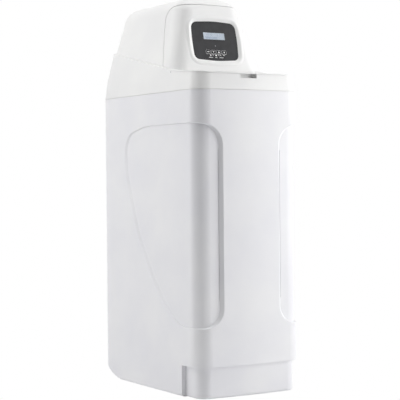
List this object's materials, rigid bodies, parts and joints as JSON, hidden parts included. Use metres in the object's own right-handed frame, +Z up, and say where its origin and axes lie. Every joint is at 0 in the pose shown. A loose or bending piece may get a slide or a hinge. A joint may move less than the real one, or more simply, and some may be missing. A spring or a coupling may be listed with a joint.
{
  "type": "water_softener",
  "caption": "Cabinet water softener with a hinged salt lid, domed valve hood, dark control panel with keys, resin vessel, motor-driven valve, bypass and brine well.",
  "frame": {"origin": "On the floor under the middle of the cabinet's width; the cabinet's front bows out to y = -284 mm and its back is at y = +275 mm.", "axes": "+Z up, -Y is the front with the control panel and the salt lid, +X is the right hand side as seen from the front, where the brine well stands."},
  "size_m": [0.335, 0.5839, 1.093],
  "materials": {
    "cabinet_plastic": "moulded ABS, satin gloss white",
    "panel_plastic": "dark grey polycarbonate overlay, fine texture",
    "display_glass": "clear window over a lit pale blue display",
    "electronics": "circuit board laminate and black moulded cases",
    "fastener_steel": "stainless steel",
    "vessel_fibreglass": "filament-wound glass fibre in epoxy over a plastic liner",
    "rubber_black": "moulded rubber",
    "resin_beads": "amber ion exchange resin beads",
    "valve_plastic": "black glass-filled moulding",
    "gear_plastic": "natural acetal",
    "disc_ceramic": "lapped alumina ceramic",
    "knob_plastic": "blue moulded nylon",
    "brine_plastic": "natural polypropylene"
  },
  "bodies": {
    "root": {"air_check": "brine_plastic", "board_screws": "fastener_steel", "bottom_strainer": "brine_plastic", "brine_fitting": "valve_plastic", "brine_line": "brine_plastic", "brine_valve_body": "brine_plastic", "brine_well": "brine_plastic", "brine_well_cap": "brine_plastic", "bypass_body": "valve_plastic", "cabinet_shell": "cabinet_plastic", "cable_grommet": "rubber_black", "control_fascia": "cabinet_plastic", "controller_board": "electronics", "display_module": "electronics", "display_window": "display_glass", "drain_fitting": "valve_plastic", "drive_motor": "electronics", "fixed_disc": "disc_ceramic", "gear_cover": "valve_plastic", "hood_screws": "fastener_steel", "injector_cap": "valve_plastic", "inlet_connector": "valve_plastic", "inlet_union_nut": "valve_plastic", "lid_hinge_pins": "fastener_steel", "outlet_connector": "valve_plastic", "outlet_union_nut": "valve_plastic", "overflow_fitting": "brine_plastic", "overflow_gasket": "rubber_black", "overflow_nut": "brine_plastic", "panel_overlay": "panel_plastic", "port_clips": "fastener_steel", "pressure_vessel": "vessel_fibreglass", "resin_bed": "resin_beads", "riser_tube": "brine_plastic", "top_collar": "cabinet_plastic", "top_strainer": "brine_plastic", "valve_body": "valve_plastic", "valve_hood": "cabinet_plastic", "vessel_boot": "rubber_black", "vessel_o_ring": "rubber_black"},
    "lid": {"salt_lid": "cabinet_plastic"},
    "key_set_body": {"key_set": "panel_plastic"},
    "key_down_body": {"key_down": "panel_plastic"},
    "key_up_body": {"key_up": "panel_plastic"},
    "key_enter_body": {"key_enter": "panel_plastic"},
    "gear_body": {"main_gear": "gear_plastic", "moving_disc": "disc_ceramic"},
    "pinion_body": {"drive_pinion": "gear_plastic"},
    "inlet_knob_body": {"inlet_knob": "knob_plastic"},
    "outlet_knob_body": {"outlet_knob": "knob_plastic"},
    "float_body": {"float_rod": "brine_plastic", "brine_float": "brine_plastic", "float_grommets": "rubber_black"}
  },
  "joints": [
    {"name": "lid_hinge", "type": "hinge", "parent": "root", "child": "lid", "pos_m": [0, -0.134, 0.872], "axis": [-1, 0, 0], "range_deg": [0, 95]},
    {"name": "key_set_press", "type": "slide", "parent": "root", "child": "key_set_body", "axis": [0, 0.9767, -0.2147], "range_m": [0, 0.0008], "stiffness_N_per_m": 1000},
    {"name": "key_down_press", "type": "slide", "parent": "root", "child": "key_down_body", "axis": [0, 0.9767, -0.2147], "range_m": [0, 0.0008], "stiffness_N_per_m": 1000},
    {"name": "key_up_press", "type": "slide", "parent": "root", "child": "key_up_body", "axis": [0, 0.9767, -0.2147], "range_m": [0, 0.0008], "stiffness_N_per_m": 1000},
    {"name": "key_enter_press", "type": "slide", "parent": "root", "child": "key_enter_body", "axis": [0, 0.9767, -0.2147], "range_m": [0, 0.0008], "stiffness_N_per_m": 1000},
    {"name": "float_lift", "type": "slide", "parent": "root", "child": "float_body", "axis": [0, 0, 1], "range_m": [0, 0.018]},
    {"name": "main_gear_spin", "type": "hinge", "parent": "root", "child": "gear_body", "pos_m": [0, 0.0485, 0.985], "axis": [0, 1, 0], "continuous": true},
    {"name": "pinion_spin", "type": "hinge", "parent": "root", "child": "pinion_body", "pos_m": [0.04243, 0.0485, 1.02743], "axis": [0, 1, 0], "continuous": true},
    {"name": "inlet_knob_turn", "type": "hinge", "parent": "root", "child": "inlet_knob_body", "pos_m": [-0.032, 0.2126, 0.96], "axis": [0, 0, 1], "range_deg": [0, 90]},
    {"name": "outlet_knob_turn", "type": "hinge", "parent": "root", "child": "outlet_knob_body", "pos_m": [0.032, 0.2126, 0.96], "axis": [0, 0, 1], "range_deg": [0, 90]}
  ],
  "couplings": [
    {"joint": "pinion_spin", "follows": "main_gear_spin", "ratio": -3}
  ]
}
